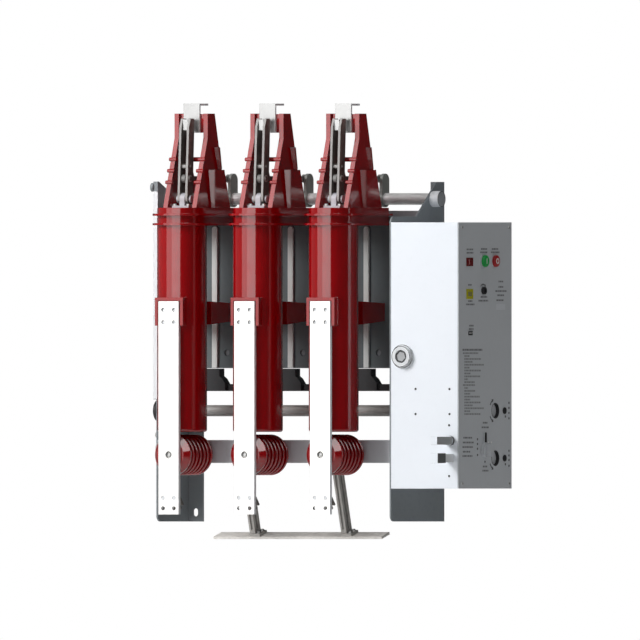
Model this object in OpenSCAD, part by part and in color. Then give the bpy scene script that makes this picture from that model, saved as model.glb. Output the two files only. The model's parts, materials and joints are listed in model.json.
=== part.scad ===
// Side-mounted indoor vacuum circuit breaker: three epoxy poles in a row, an
// isolating switch over each pole, busbars in front on post insulators, one
// earthing bar below and a mechanism box at the end of the row.
// Millimetres. X runs along the row, Y back to the mounting plane, Z up.
// The origin is on the back face of the rear rail, behind the middle pole.

/* [Poles] */
// Distance between neighbouring poles
pole_pitch = 210; // [200:1:230]
// Diameter of a pole's body
pole_d = 120; // [112:1:126]
// Height of a pole's lower end above the rear rail's centre
pole_bottom = 47; // [46:1:60]
// Height of a pole from its lower end to its top face
pole_h = 538; // [520:1:570]
// Depth of the pole axis in front of the mounting plane
pole_depth = 280; // [270:1:300]
// How far the collars round a pole's head stand proud
collar_proud = 11; // [6:1:15]
// Height of a pole's head, which carries the collars
head_h = 43; // [38:1:52]
// Width of the rib down the back of a pole
spine_w = 36; // [30:1:44]
// Depth of that rib behind the pole axis
spine_depth = 80; // [70:1:90]
// Width of the lower arm that carries a pole
arm_w = 98; // [80:1:110]
// Height of the lower arm at the pole
arm_h = 61; // [50:1:66]

/* [Busbars] */
// Width of a busbar
busbar_w = 55.5; // [50:0.5:60]
// Thickness of a busbar
busbar_t = 9; // [7:0.5:12]
// Length of a busbar below the bolts of its earthing contact
busbar_tail = 40; // [34:1:60]
// Height of the centre of a busbar's upper bolts
terminal_z = 325; // [315:1:340]
// Spacing of the bolt holes in a busbar
bolt_pitch = 30; // [24:1:34]
// Diameter of those holes
bolt_d = 10; // [8:0.5:13]
// Width of the rim round a busbar's seat on the pole
seat_rim = 8; // [5:0.5:11]
// Gap between a busbar's sides and that rim
rim_gap = 3; // [1:0.5:5]
// Depth of that seat
seat_depth = 7; // [3:0.5:8]
// Diameter of a post insulator's sheds
insulator_d = 98; // [86:1:104]
// Depth of a shed beyond the insulator's core
shed_proud = 9; // [6:0.5:12]
// Number of sheds on a post insulator
shed_count = 7; // [5:1:8]

/* [Isolating switch] */
// Height of a guard above the pole
guard_h = 226; // [215:1:240]
// Height of the upright upper part of a guard's front edge
guard_nose_h = 59; // [50:1:70]
// Depth of that upright edge behind the pole axis
guard_nose_y = 43; // [40:1:46]
// Reach of a guard's foot in front of the pole axis
guard_foot_front = 12; // [8:1:16]
// Depth of a guard's foot behind the pole axis
guard_foot_back = 150; // [140:1:158]
// Depth of a guard's waist behind the pole axis
guard_waist_back = 112; // [104:1:120]
// Height of a guard's waist
guard_waist_h = 87; // [80:1:95]
// Depth of a guard's top behind the pole axis
guard_top_back = 77; // [75:1:84]
// Clear width between the two walls of a guard
guard_gap = 68; // [62:1:72]
// Thickness of a guard's wall
guard_t = 12; // [9:0.5:13]
// Height of the blade pivots above the poles
pivot_rise = 21; // [20:0.5:26]
// Depth of the blade pivots behind the pole axis
pivot_y = 14; // [10:1:18]
// Diameter of a blade's pivot pin
pivot_d = 12; // [10:0.5:13]
// Length of a blade above its pivot
blade_l = 193; // [185:1:200]
// Width of a blade
blade_w = 26; // [22:1:28]
// Thickness of a blade
blade_t = 6; // [5:0.5:7]
// Clear width between the two blades of a pair
blade_gap = 15; // [14:0.5:17]
// Radius of the cranks, and height of the pull pins above the pivots
crank_r = 49; // [47:0.5:52]
// Diameter of the pins that the pull rods turn on
pull_pin_d = 10; // [8:0.5:11]
// Height of a pull rod's section
pull_rod_h = 12; // [9:0.5:12]
// Distance of the isolator shaft in front of the mounting plane
shaft_back = 54; // [48:1:62]
// Diameter of the isolator shaft
shaft_d = 28; // [24:1:30]
// Width of a top terminal
terminal_w = 44; // [38:1:58]
// Thickness of a top terminal
terminal_t = 5; // [4:0.5:8]
// Diameter of the bolt hole in a top terminal
terminal_hole_d = 13; // [9:0.5:14]

/* [Frame] */
// Distance from an outer pole's axis to the outer face of its side plate
end_gap = 145; // [140:1:160]
// Thickness of the side plates and the beam
plate_t = 4; // [3:0.5:5]
// Depth of the side plates' lower ends below the rear rail's centre
plate_drop = 168; // [160:1:176]
// Depth of the left plate's front edge behind the pole axis
left_front = 127; // [120:1:130]
// Width of the flanges that fasten the side plates to a wall
flange_w = 40; // [36:1:50]
// Width of the slots in those flanges
slot_w = 13; // [9:0.5:15]
// Length of those slots
slot_l = 20; // [18:0.5:28]
// Depth of the back panel behind the pole axis
panel_y = 161; // [155:1:166]
// Height of the back panel's lower edge
panel_bottom = 200; // [199:1:215]
// Depth of the lower beam behind the pole axis
beam_y = 78; // [72:1:80]
// Height of the lower beam
beam_h = 55; // [48:1:56]
// Height of the rear rail
rail_h = 50; // [40:1:60]
// Diameter of the drive shaft
drive_d = 27; // [22:1:32]
// Height of the drive shaft
drive_z = 98; // [90:1:110]

/* [Earthing switch] */
// Height of the earthing shaft
earth_z = 6; // [4:0.5:8]
// Diameter of the earthing shaft
earth_d = 25; // [22:1:27]
// Distance from the earthing shaft to the middle of its bar
earth_reach = 216; // [212:1:219]
// Lean of the earthing arms at rest, in degrees
earth_lean = 16; // [12:0.5:20]
// Travel of the earthing arms, in degrees
earth_travel = 65; // [62:0.5:66]
// Distance between the two earthing arms
earth_span = 253; // [240:1:260]
// Width of the earthing bar
earth_bar_w = 40; // [34:1:44]
// Thickness of the earthing bar
earth_bar_t = 6; // [5:0.5:8]

/* [Mechanism box] */
// Width of the box along the row
box_w = 184; // [175:1:220]
// Depth of the box and its panel
box_depth = 255; // [245:1:256]
// Depth of the box's top below the tops of the poles
box_gap = 35; // [24:1:60]
// Depth of the box's lower face below the rear rail's centre
box_drop = 89; // [84:1:95]
// Depth of the box's front, and of the right plate's, behind the pole axis
right_front = 24; // [20:1:27]
// Thickness of the control panel
panel_t = 3; // [2:0.5:4]
// Diameter of the two push buttons
button_d = 28; // [18:1:32]
// Travel of the push buttons
button_travel = 6; // [4:0.5:8]
// Diameter of the operating sockets
socket_d = 38; // [32:1:44]
// Depth of the operating sockets
socket_depth = 9; // [7:0.5:12]

/* [Clearances] */
// Gap all round a part that turns or slides in another
run_gap = 0.3; // [0.2:0.05:0.5]
// Gap beside a part that is bolted in a seat
seat_gap = 0.5; // [0.2:0.1:0.8]

/* [Hidden] */
$fn = 64;
eps = 0.01;

pole_top = pole_bottom + pole_h;
pole_r = pole_d / 2;
collar_r = pole_r + collar_proud;
plate_x = pole_pitch + end_gap;
inner_x = plate_x - plate_t;
pivot_z = pole_top + pivot_rise;
pull_z = pivot_z + crank_r;
plate_top = pole_top - 21;
panel_top = pole_top - 22;
shaft_y = pole_depth - shaft_back;

// Busbars and what they sit on
seat_y = -(pole_r - 3);
busbar_top = terminal_z + 35.5;
top_gap = 1;
block_w = busbar_w + 2 * (rim_gap + seat_rim);
block_bottom = terminal_z - 23;
block_top = busbar_top + top_gap + seat_rim;
insulator_z = -8;
insert_d = 14;
insert_depth = 20;

// Isolating switch
wall_x = guard_gap / 2;
knee_z = guard_h - guard_nose_h;
guard_foot_y = -guard_foot_front;
bead_first = 61;
bead_pitch = 27.5;
low_step_y = [64, 53];
low_step_h = 91;
low_step_proud = [8.5, 15];
high_step_y = [95, 78];
high_step_h = 52;
high_step_proud = [8.5, 10.5];
step_gap = 2;
step_inset = 13;
rib_proud = 2.5;
rib_l = 75;
foot_plate_y = 50;
tie_y = 54;
blade_x = blade_gap / 2;
bridge_y = guard_nose_y + terminal_t + 2;
terminal_rise = 24;
lug_t = blade_gap - 1;
rod_t = blade_gap - 5;
crank_t = 8;
bearing_l = 23;

// Frame
edge_w = 8;
rail_strip_w = 14;
rail_strip_t = 6;
drive_y = 152;
lever_z = 145;

// Earthing switch
earth_y = 150;
earth_arm_w = 15;
earth_arm_d = 28;
earth_bar_l = 2 * (pole_pitch + 23);
// Closed, the bar lies at this angle ahead of straight down, and its plane meets the busbar here
closed_turn = earth_travel - earth_lean;
closed_y = earth_y - earth_reach * sin(closed_turn);
closed_z = earth_z - earth_reach * cos(closed_turn);
jaw_z = closed_z + (closed_y - seat_y) * tan(closed_turn);
contact_drop = 26;
contact_hole_z = jaw_z - contact_drop;
busbar_bottom = contact_hole_z - busbar_tail;
lug_hole_z = busbar_bottom + bolt_pitch / 2;

// Mechanism box
box_x = plate_x + box_w;
face_x = box_x + panel_t;
box_top = pole_top - box_gap;
box_y0 = right_front;

epoxy = [0.55, 0.02, 0.03];
silver = [0.86, 0.87, 0.88];
frame_grey = [0.45, 0.47, 0.49];
zinc = [0.70, 0.72, 0.74];
box_white = [0.92, 0.94, 0.97];
panel_grey = [0.45, 0.46, 0.47];
black = [0.06, 0.06, 0.07];

// Helpers: depth is counted from the pole axis inside row() and at_pole()
module row() translate([0, -pole_depth, 0]) children();
module at_pole(i) translate([(i - 2) * pole_pitch, -pole_depth, 0]) children();
module each_pole() for (i = [1:3]) at_pole(i) children();
module sides() for (s = [0, 1]) mirror([s, 0, 0]) children();
module block(x, y, z) translate([x[0], y[0], z[0]]) cube([x[1] - x[0], y[1] - y[0], z[1] - z[0]]);
module rod_x(d, x, y, z) translate([x[0], y, z]) rotate([0, 90, 0]) cylinder(d = d, h = x[1] - x[0]);
module rod_y(d, x, y, z) translate([x, y[0], z]) rotate([-90, 0, 0]) cylinder(d = d, h = y[1] - y[0]);
// A (depth, height) outline, extruded along the row
module profile_x(x) translate([x[0], 0, 0]) rotate([90, 0, 90]) linear_extrude(x[1] - x[0]) children();

// Poles

module pole_body() {
    foot_round = 6;
    translate([0, 0, pole_bottom]) rotate_extrude() {
        translate([0, foot_round]) square([pole_r, pole_h - foot_round]);
        square([pole_r - foot_round, pole_h]);
        intersection() {
            translate([pole_r - foot_round, foot_round]) circle(foot_round);
            square([pole_r, pole_h]);
        }
    }
}

module head_layer(r, z, h) translate([0, 0, z]) linear_extrude(h) {
    circle(r);
    translate([-r, 0]) square([2 * r, panel_y]);
}

module pole_head() {
    head_z = pole_top - head_h;
    collar_t = 5;
    head_layer(pole_r, head_z, head_h);
    head_layer(collar_r, head_z + 1, collar_t);
    head_layer(collar_r, pole_top - 19, collar_t);
}

module pole_arm() difference() {
    arm_top = terminal_z + 37;
    arm_front = pole_r - 6;
    profile_x([-arm_w / 2, arm_w / 2])
        polygon([[arm_front, arm_top - arm_h + 4], [panel_y, arm_top - arm_h + 12],
                 [panel_y, arm_top - 6], [arm_front, arm_top - 2]]);
    block([-rail_strip_w / 2 - seat_gap, rail_strip_w / 2 + seat_gap],
          [panel_y - rail_strip_t - seat_gap, panel_y + 1],
          [arm_top - arm_h, arm_top]);
}

module terminal_seat() block([-busbar_w / 2 - rim_gap, busbar_w / 2 + rim_gap],
                             [seat_y - seat_depth - 1, seat_y], [block_bottom - 1, busbar_top + top_gap]);

// Children at each of the four bolts that hold a busbar to its pole
module terminal_bolts() for (x = [-1, 1], z = [-1, 1])
    translate([x * bolt_pitch / 2, 0, terminal_z + z * bolt_pitch / 2]) children();

module pole(i) color(epoxy) at_pole(i) difference() {
    union() {
        pole_body();
        pole_head();
        block([-spine_w / 2, spine_w / 2], [0, spine_depth], [panel_bottom, pole_top - head_h]);
        pole_arm();
        block([-block_w / 2, block_w / 2], [seat_y - seat_depth, 0], [block_bottom, block_top]);
    }
    terminal_seat();
    terminal_bolts() rod_y(bolt_d, 0, [seat_y - 1, seat_y + insert_depth], 0);
    // A flat down the front, clear of the busbar
    block([-pole_r, pole_r], [-pole_r - 1, seat_y + seat_gap], [pole_bottom - 1, block_bottom]);
}

// Isolating switch over each pole

function guard_back(z) = z < guard_waist_h
    ? guard_foot_back - (guard_foot_back - guard_waist_back) * z / guard_waist_h
    : guard_waist_back - (guard_waist_back - guard_top_back) * (z - guard_waist_h) / (guard_h - guard_waist_h);
function guard_front(z) = guard_foot_y + (guard_nose_y - guard_foot_y) * min(z, knee_z) / knee_z;

module guard_outline() polygon([
    [guard_foot_y, 0], [guard_nose_y, knee_z], [guard_nose_y, guard_h],
    [guard_top_back, guard_h], [guard_waist_back, guard_waist_h], [guard_foot_back, 0]
]);

// A step on a guard's outer face, given at its lower and upper ends
module guard_step(x, proud, y, z) intersection() {
    profile_x([x - eps, x + max(proud)]) translate([-step_inset, 0]) guard_outline();
    hull() for (k = [0, 1])
        block([x - eps, x + proud[k]], [y[k], guard_foot_back], [z[k] - k * eps, z[k] + (1 - k) * eps]);
}

module guard_wall() {
    bead_d = 9;
    bead_l = guard_t + 7;
    profile_x([wall_x, wall_x + guard_t]) guard_outline();
    outer_x = wall_x + guard_t;
    high_step_z = low_step_h + step_gap;
    guard_step(outer_x, low_step_proud, low_step_y, [0, low_step_h]);
    guard_step(outer_x, high_step_proud, high_step_y, [high_step_z, high_step_z + high_step_h]);
    for (z = [bead_first : bead_pitch : bead_first + 2 * bead_pitch]) {
        rod_x(bead_d, [wall_x + (guard_t - bead_l) / 2, wall_x + (guard_t + bead_l) / 2], guard_front(z), z);
        block([wall_x - rib_proud, wall_x + eps], [guard_front(z), guard_front(z) + rib_l], [z - 2, z + 2]);
    }
}

module isolator_guard(i) color(epoxy) at_pole(i) translate([0, 0, pole_top]) {
    tie_d = 11;
    sides() guard_wall();
    block([-wall_x - 1, wall_x + 1], [foot_plate_y, guard_back(6)], [0, 6]);
    block([-wall_x - 1, wall_x + 1], [bridge_y, bridge_y + 22], [guard_h - 46, guard_h - 1]);
    rod_x(tie_d, [-wall_x - 1, wall_x + 1], tie_y, bead_first + 2 * bead_pitch);
}

module top_terminal(i) color(silver) at_pole(i) translate([0, 0, pole_top]) difference() {
    flange_z = guard_h + terminal_rise - terminal_t;
    flange_back = bridge_y + 37;
    contact_t = blade_gap - 2;
    union() {
        block([-terminal_w / 2, terminal_w / 2], [bridge_y - terminal_t, bridge_y],
              [guard_h - 46, flange_z + terminal_t]);
        block([-terminal_w / 2, terminal_w / 2], [bridge_y - terminal_t, flange_back],
              [flange_z, flange_z + terminal_t]);
        block([-contact_t / 2, contact_t / 2], [15, bridge_y - eps], [guard_h - 40, guard_h - 14]);
    }
    translate([0, flange_back - 17, flange_z - 1]) cylinder(d = terminal_hole_d, h = terminal_t + 2);
}

module pivot_brackets() color(zinc) each_pole() translate([0, pivot_y, 0]) {
    base_t = 5;
    lug_r = 15;
    head_d = pivot_d + 6;
    pin_x = blade_x + blade_t + 1;
    block([-22.5, 22.5], [-24, 26], [pole_top, pole_top + base_t]);
    rod_x(2 * lug_r, [-lug_t / 2, lug_t / 2], 0, pivot_z);
    block([-lug_t / 2, lug_t / 2], [-lug_r, lug_r], [pole_top, pivot_z]);
    rod_x(pivot_d, [-pin_x, pin_x], 0, pivot_z);
    sides() rod_x(head_d, [pin_x - eps, pin_x + 5], 0, pivot_z);
}

module blade_outline() {
    blade_lean = 9;
    circle(d = blade_w);
    polygon([[-blade_w / 2, 0], [blade_w / 2, 0],
             [blade_lean + blade_w / 2, blade_l - 3], [blade_lean + blade_w / 2 - 3, blade_l],
             [blade_lean - blade_w / 2 + 8, blade_l], [blade_lean - blade_w / 2, blade_l - 20]]);
}

module blade_pair(i) color(silver) at_pole(i) translate([0, pivot_y, pivot_z]) difference() {
    spacer_z = crank_r + 29;
    pin_x = blade_x + blade_t + 3;
    union() {
        sides() profile_x([blade_x, blade_x + blade_t]) blade_outline();
        rod_x(pull_pin_d, [-pin_x, pin_x], 0, crank_r);
        rod_x(14, [-blade_x - 1, blade_x + 1], 3, spacer_z);
        rod_x(8, [-pin_x, pin_x], 3, spacer_z);
    }
    rod_x(pivot_d + 2 * run_gap, [-blade_x - blade_t - 1, blade_x + blade_t + 1], 0, 0);
}

module pull_rods() color(zinc) each_pole() difference() {
    eye_d = pull_pin_d + 10;
    union() {
        block([-rod_t / 2, rod_t / 2], [pivot_y, shaft_y], [pull_z - pull_rod_h / 2, pull_z + pull_rod_h / 2]);
        for (y = [pivot_y, shaft_y]) rod_x(eye_d, [-rod_t / 2, rod_t / 2], y, pull_z);
    }
    for (y = [pivot_y, shaft_y]) rod_x(pull_pin_d + 2 * run_gap, [-rod_t, rod_t], y, pull_z);
}

module crank() {
    crank_x = rod_t / 2 + 1;
    crank_hw = 17;
    x = [crank_x, crank_x + crank_t];
    profile_x(x) {
        circle(d = shaft_d + 12);
        translate([-crank_hw, 0]) square([2 * crank_hw, crank_r - 5]);
        translate([0, crank_r - 5]) circle(crank_hw);
    }
    rod_x(pull_pin_d, [-crank_x - 1, crank_x + 1], 0, crank_r);
}

module isolator_shaft() color(zinc) {
    shaft_l = 2 * (plate_x + bearing_l);
    row() rod_x(shaft_d, [-shaft_l / 2, shaft_l / 2], shaft_y, pivot_z);
    each_pole() translate([0, shaft_y, pivot_z]) crank();
}

module shaft_bearings() color(zinc) row() sides() difference() {
    rod_x(shaft_d + 10, [plate_x, plate_x + bearing_l], shaft_y, pivot_z);
    rod_x(shaft_d + 2 * run_gap, [plate_x - 1, plate_x + bearing_l + 1], shaft_y, pivot_z);
}

// Busbars

module busbar(i) color(silver) at_pole(i) difference() {
    block([-busbar_w / 2, busbar_w / 2], [seat_y - busbar_t, seat_y], [busbar_bottom, busbar_top]);
    through = [seat_y - busbar_t - 1, seat_y + 1];
    terminal_bolts() rod_y(bolt_d, 0, through, 0);
    for (x = [-bolt_pitch / 2, bolt_pitch / 2], z = [lug_hole_z, contact_hole_z]) rod_y(bolt_d, x, through, z);
    rod_y(insert_d + 3, 0, through, insulator_z);
}

module post_insulator(i) color(epoxy) at_pole(i) translate([0, beam_y, insulator_z]) rotate([90, 0, 0]) {
    length = beam_y - seat_y;
    core_r = insulator_d / 2 - shed_proud;
    shed_r = insulator_d / 2;
    shed_t = 6;
    foot_h = 14;
    nose_h = 12;
    nose_r = core_r - 4;
    nose_z = length - nose_h;
    pitch = (nose_z - shed_t - foot_h) / (shed_count - 1);
    difference() {
        rotate_extrude() {
            polygon([[0, 0], [core_r, 0], [core_r, nose_z - shed_t], [shed_r, nose_z - shed_t], [shed_r, nose_z],
                     [nose_r, length], [0, length]]);
            for (k = [0:shed_count - 2]) translate([0, foot_h + k * pitch]) {
                square([shed_r - shed_t / 2, shed_t]);
                translate([shed_r - shed_t / 2, shed_t / 2]) circle(d = shed_t);
            }
        }
        translate([0, 0, length - insert_depth]) cylinder(d = insert_d, h = insert_depth + 1);
    }
}

// Frame

module bore_x(d, x, y, z) rod_x(d, [x - plate_t - 1, x + plate_t + 1], y, z);

// Slots, upright, through a rear flange
module flange_slots(x) for (z = [slot_low, slot_high]) translate([x, pole_depth, z]) {
    block([-slot_w / 2, slot_w / 2], [-plate_t - 1, 1], [-(slot_l - slot_w) / 2, (slot_l - slot_w) / 2]);
    for (s = [-1, 1]) rod_y(slot_w, 0, [-plate_t - 1, 1], s * (slot_l - slot_w) / 2);
}
slot_low = -plate_drop + 22;
slot_high = plate_top - 22;
slot_x = inner_x - flange_w / 2 + 1;

module rear_flange() difference() {
    block([inner_x - flange_w, plate_x], [pole_depth - plate_t, pole_depth], [-plate_drop, plate_top]);
    flange_slots(slot_x);
}

module left_outline() {
    ear_z = pole_top + 63;
    polygon([
        [left_front, -plate_drop + 15], [left_front + 15, -plate_drop], [pole_depth, -plate_drop],
        [pole_depth, plate_top], [shaft_y + 34, pivot_z + 26], [shaft_y - 26, pivot_z + 26],
        [shaft_y - 42, pole_top], [left_front + 44, ear_z - 18], [left_front + 6, ear_z], [left_front, ear_z]
    ]);
    translate([left_front + 15, -plate_drop + 15]) circle(15);
}

module left_side_plate() color(frame_grey) row() {
    difference() {
        profile_x([-plate_x, -inner_x]) left_outline();
        bore_x(shaft_d + 2 * run_gap, -plate_x, shaft_y, pivot_z);
        bore_x(drive_d + 2 * run_gap, -plate_x, drive_y, drive_z);
        bore_x(earth_d + 2 * run_gap, -plate_x, earth_y, earth_z);
    }
    mirror([1, 0, 0]) rear_flange();
    block([-plate_x - edge_w, -inner_x], [left_front, left_front + plate_t], [drive_z + drive_d, pole_top + 63]);
    rod_x(21, [-plate_x - edge_w - 7, -plate_x - edge_w + eps], left_front + 6, pole_top + 49);
    block([-plate_x - edge_w, -plate_x + eps], [left_front, left_front + 16], [pole_top + 40, pole_top + 58]);
}

module right_outline() {
    corner = 15;
    ear_z = pivot_z + 41;
    polygon([
        [right_front, -plate_drop + corner], [right_front + corner, -plate_drop], [pole_depth, -plate_drop],
        [pole_depth, ear_z], [shaft_y + 18, ear_z], [shaft_y - 79, plate_top],
        [right_front + corner, plate_top], [right_front, plate_top - corner]
    ]);
    for (z = [-plate_drop + corner, plate_top - corner]) translate([right_front + corner, z]) circle(corner);
}

module right_side_plate() color(frame_grey) row() {
    difference() {
        profile_x([inner_x, plate_x]) right_outline();
        bore_x(shaft_d + 2 * run_gap, plate_x, shaft_y, pivot_z);
        bore_x(earth_d + 2 * run_gap, plate_x, earth_y, earth_z);
    }
    rear_flange();
    block([inner_x - 32, plate_x], [pole_depth - plate_t, pole_depth], [plate_top - eps, pivot_z + 41]);
}

// A sheet with its lower and upper edges folded back, an upstand along the top and a cup beside each pole
module back_panel() color(frame_grey) difference() {
    fold = 30;
    sheet = 3;
    upstand = 15;
    hole_d = 14;
    hole_x = 31;
    hole_rise = 37;
    x = [-inner_x, inner_x];
    union() {
        row() {
            block(x, [panel_y, panel_y + sheet], [panel_bottom, panel_top]);
            block(x, [panel_y, panel_y + fold], [panel_bottom, panel_bottom + sheet]);
            block(x, [panel_y, panel_y + fold], [panel_top - sheet, panel_top]);
            block(x, [panel_y + fold - sheet, panel_y + fold], [panel_top - sheet, panel_top + upstand]);
        }
        each_pole() rod_y(hole_d + 8, hole_x, [panel_y, panel_y + 16], panel_bottom + hole_rise);
    }
    each_pole() rod_y(hole_d, hole_x, [panel_y - 1, panel_y + 13], panel_bottom + hole_rise);
}

module pole_rails() color(silver) each_pole() {
    low = panel_bottom + 1;
    high = pole_top - head_h - 2 - rail_strip_w / 2;
    block([-rail_strip_w / 2, rail_strip_w / 2], [panel_y - rail_strip_t, panel_y], [low, high]);
    rod_y(rail_strip_w, 0, [panel_y - rail_strip_t, panel_y], high);
}

module lower_beam() color(frame_grey) row() difference() {
    top = beam_h / 2;
    flange_back = 58;
    lip = 18;
    notch = earth_arm_w + 16;
    cut_x = inner_x - 33;
    union() {
        block([-inner_x, inner_x], [beam_y, beam_y + plate_t], [-top, top]);
        block([-inner_x, inner_x], [beam_y, beam_y + flange_back], [top - plate_t, top]);
        block([-inner_x, inner_x], [beam_y, beam_y + lip], [-top, -top + plate_t]);
        block([-inner_x, -inner_x + plate_t], [beam_y, earth_y + 36], [-top, top]);
    }
    sides() block([(earth_span - notch) / 2, (earth_span + notch) / 2],
                  [beam_y + plate_t, beam_y + lip + 1], [-top - 1, -top + plate_t + 1]);
    bore_x(earth_d + 2 * run_gap, -inner_x, earth_y, earth_z);
    // The left front corner is cut back to the side plate
    translate([0, 0, -top - 1]) linear_extrude(beam_h + 2)
        polygon([[-cut_x, beam_y - 1], [-cut_x, beam_y], [-inner_x, left_front], [-inner_x - 1, left_front],
                 [-inner_x - 1, beam_y - 1]]);
}

module rear_rail() color(frame_grey) row() {
    x = [-inner_x + flange_w, inner_x - flange_w];
    lip = 30;
    block(x, [pole_depth - plate_t, pole_depth], [-rail_h / 2, rail_h / 2]);
    for (z = [-rail_h / 2, rail_h / 2 - plate_t]) block(x, [pole_depth - lip, pole_depth], [z, z + plate_t]);
}

module drive_shaft() color(zinc) row() rod_x(drive_d, [-plate_x, inner_x], drive_y, drive_z);

module drive_shaft_cap() color(black) row() {
    rod_x(drive_d + 25, [-plate_x - 9, -plate_x], drive_y, drive_z);
    rod_x(drive_d + 7, [-plate_x - 12, -plate_x - 9 + eps], drive_y, drive_z);
}

module lever_bar() color(black) {
    lever_y = drive_y + 13;
    row() block([-inner_x, inner_x], [lever_y, lever_y + 10], [lever_z, lever_z + 17]);
    each_pole() translate([0, lever_y + 17, lever_z]) rotate([90, 0, 0]) linear_extrude(24)
        polygon([[-25, 0], [28, 0], [28, 18], [20, 30], [12, 36], [12, 54], [-25, 54]]);
}

// Earthing switch: children lie on the arm, which hangs straight down before it turns

module on_earth_arm(turn) row() translate([0, earth_y, earth_z]) rotate([turn, 0, 0]) children();

bar_top = -earth_reach + earth_bar_t / 2;
bar_bottom = -earth_reach - earth_bar_t / 2;

// One arm, with a groove down each face
module earth_arm() difference() {
    groove = 2.5;
    x = earth_arm_w / 2;
    y = earth_arm_d / 2;
    groove_z = [bar_top + 14, -earth_d];
    block([-x, x], [-y, y], [bar_top, 0]);
    for (s = [0, 1]) mirror([0, s, 0]) block([-x / 3, x / 3], [y - groove, y + 1], groove_z);
    sides() block([x - groove, x + 1], [-y / 3, y / 3], groove_z);
}

module earth_shaft() color(zinc) {
    hub_d = earth_d + 10;
    foot_t = 6;
    row() rod_x(earth_d, [-plate_x - 6, plate_x - seat_gap], earth_y, earth_z);
    row() rod_x(earth_d + 9, [-plate_x - 6, -plate_x - run_gap], earth_y, earth_z);
    on_earth_arm(earth_lean) for (x = [-earth_span / 2, earth_span / 2]) translate([x, 0, 0]) {
        rod_x(hub_d, [-earth_arm_w / 2 - 4, earth_arm_w / 2 + 4], 0, 0);
        earth_arm();
        block([-earth_arm_w / 2, earth_arm_w / 2 + 14], [-earth_arm_d / 2 - 4, earth_arm_d / 2 + 4],
              [bar_top, bar_top + foot_t]);
    }
}

module earth_bar() color(zinc) on_earth_arm(earth_lean)
    block([-earth_bar_l / 2, earth_bar_l / 2], [-earth_bar_w / 2, earth_bar_w / 2], [bar_bottom, bar_top]);

// A jaw of two fingers that the closed earthing bar slides between, on a plate behind the busbar
module earth_contact() {
    finger_t = 4;
    jaw_x = 10;
    entry = 2;
    root_y = -earth_bar_w / 2 - 14;
    tip_y = -4;
    foot_y = -120;
    difference() {
        on_earth_arm(earth_lean - earth_travel) {
            for (z = [bar_top + entry, bar_bottom - entry - finger_t])
                block([-jaw_x, jaw_x], [root_y, tip_y], [z, z + finger_t]);
            block([-jaw_x, jaw_x], [foot_y, root_y + eps],
                  [bar_bottom - entry - finger_t, bar_top + entry + finger_t]);
        }
        row() block([-50, 50], [seat_y - 200, seat_y], [-400, 200]);
    }
    row() difference() {
        block([-22, 22], [seat_y, seat_y + 6], [contact_hole_z - 14, jaw_z + 18]);
        for (x = [-bolt_pitch / 2, bolt_pitch / 2]) rod_y(bolt_d, x, [seat_y - 1, seat_y + 7], contact_hole_z);
    }
}

module earth_contacts() color(silver) for (i = [1:3]) translate([(i - 2) * pole_pitch, 0, 0]) earth_contact();

// Mechanism box: (across, height) on the panel is counted from the box's front edge

button_z = box_top - 93;
close_u = 120;
open_u = 171;
socket_u = 177;
socket_heights = [187 - box_drop, 73 - box_drop];
lock_u = 220;
lock_d = 16;
liner_gap = 0.2;
liner_t = 1.5;
selector_u = 122;
selector_z = 92 - box_drop;
selector_pin_d = 8;

module mechanism_box() color(box_white) row() difference() {
    block([plate_x, box_x], [box_y0, box_y0 + box_depth], [-box_drop, box_top]);
    for (u = [close_u, open_u])
        rod_x(button_d + 2 * run_gap, [box_x - button_travel - 12, box_x + 1], box_y0 + u, button_z);
    for (z = socket_heights)
        rod_x(socket_d, [face_x - socket_depth, box_x + 1], box_y0 + socket_u, z);
}

module control_panel() color(panel_grey) row() {
    difference() {
        union() {
            block([box_x, face_x], [box_y0, box_y0 + box_depth], [-box_drop, box_top]);
            for (u = [close_u, open_u]) rod_x(button_d + 6, [box_x, face_x + 3], box_y0 + u, button_z);
        }
        for (u = [close_u, open_u])
            rod_x(button_d + 2 * run_gap, [box_x - 1, face_x + 4], box_y0 + u, button_z);
        for (z = socket_heights) rod_x(socket_d, [box_x - 1, face_x + 1], box_y0 + socket_u, z);
    }
    rod_x(selector_pin_d, [face_x - eps, face_x + 20], box_y0 + selector_u, selector_z);
}

module push_button(u) row() rod_x(button_d, [box_x - 6, face_x + 8], box_y0 + u, button_z);
module close_button() color("green") push_button(close_u);
module open_button() color("red") push_button(open_u);

module indicator_windows() color(black) row() {
    proud = 2;
    // Across, depth below the box's top, width and height of each window
    for (w = [[52, 95, 30, 20], [52, 172, 30, 24], [56, 266, 18, 10]])
        translate([face_x, box_y0 + w[0] - w[2] / 2, box_top - w[1] - w[3] / 2]) cube([proud, w[2], w[3]]);
}

module charging_socket() color(black) row() translate([face_x, box_y0 + 118, box_top - 164]) difference() {
    rod_x(18, [0, 6], 0, 0);
    rotate([0, 90, 0]) translate([0, 0, 3]) cylinder(d = 11, h = 4, $fn = 6);
}

// A liner in each of the two sockets, and the round lock beside it
module operating_sockets() color(black) row() for (z = socket_heights) {
    liner_d = socket_d - 2 * liner_gap;
    difference() {
        rod_x(liner_d, [face_x - socket_depth, face_x], box_y0 + socket_u, z);
        rod_x(liner_d - 2 * liner_t, [face_x - socket_depth - 1, face_x + 1], box_y0 + socket_u, z);
    }
    rod_x(lock_d, [face_x, face_x + 2], box_y0 + lock_u, z);
}

module selector_lever() color(panel_grey) row() translate([face_x, box_y0 + selector_u, selector_z]) {
    knob_d = 34;
    pointer_w = 9;
    difference() {
        union() {
            rod_x(knob_d, [run_gap, 10], 0, 0);
            block([10 - eps, 24], [-7, 7], [-knob_d / 2 + 1, knob_d / 2 - 1]);
            block([run_gap, 5], [-pointer_w / 2, pointer_w / 2], [0, 43]);
        }
        rod_x(selector_pin_d + 2 * run_gap, [0, 20 + run_gap], 0, 0);
    }
}

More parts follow.
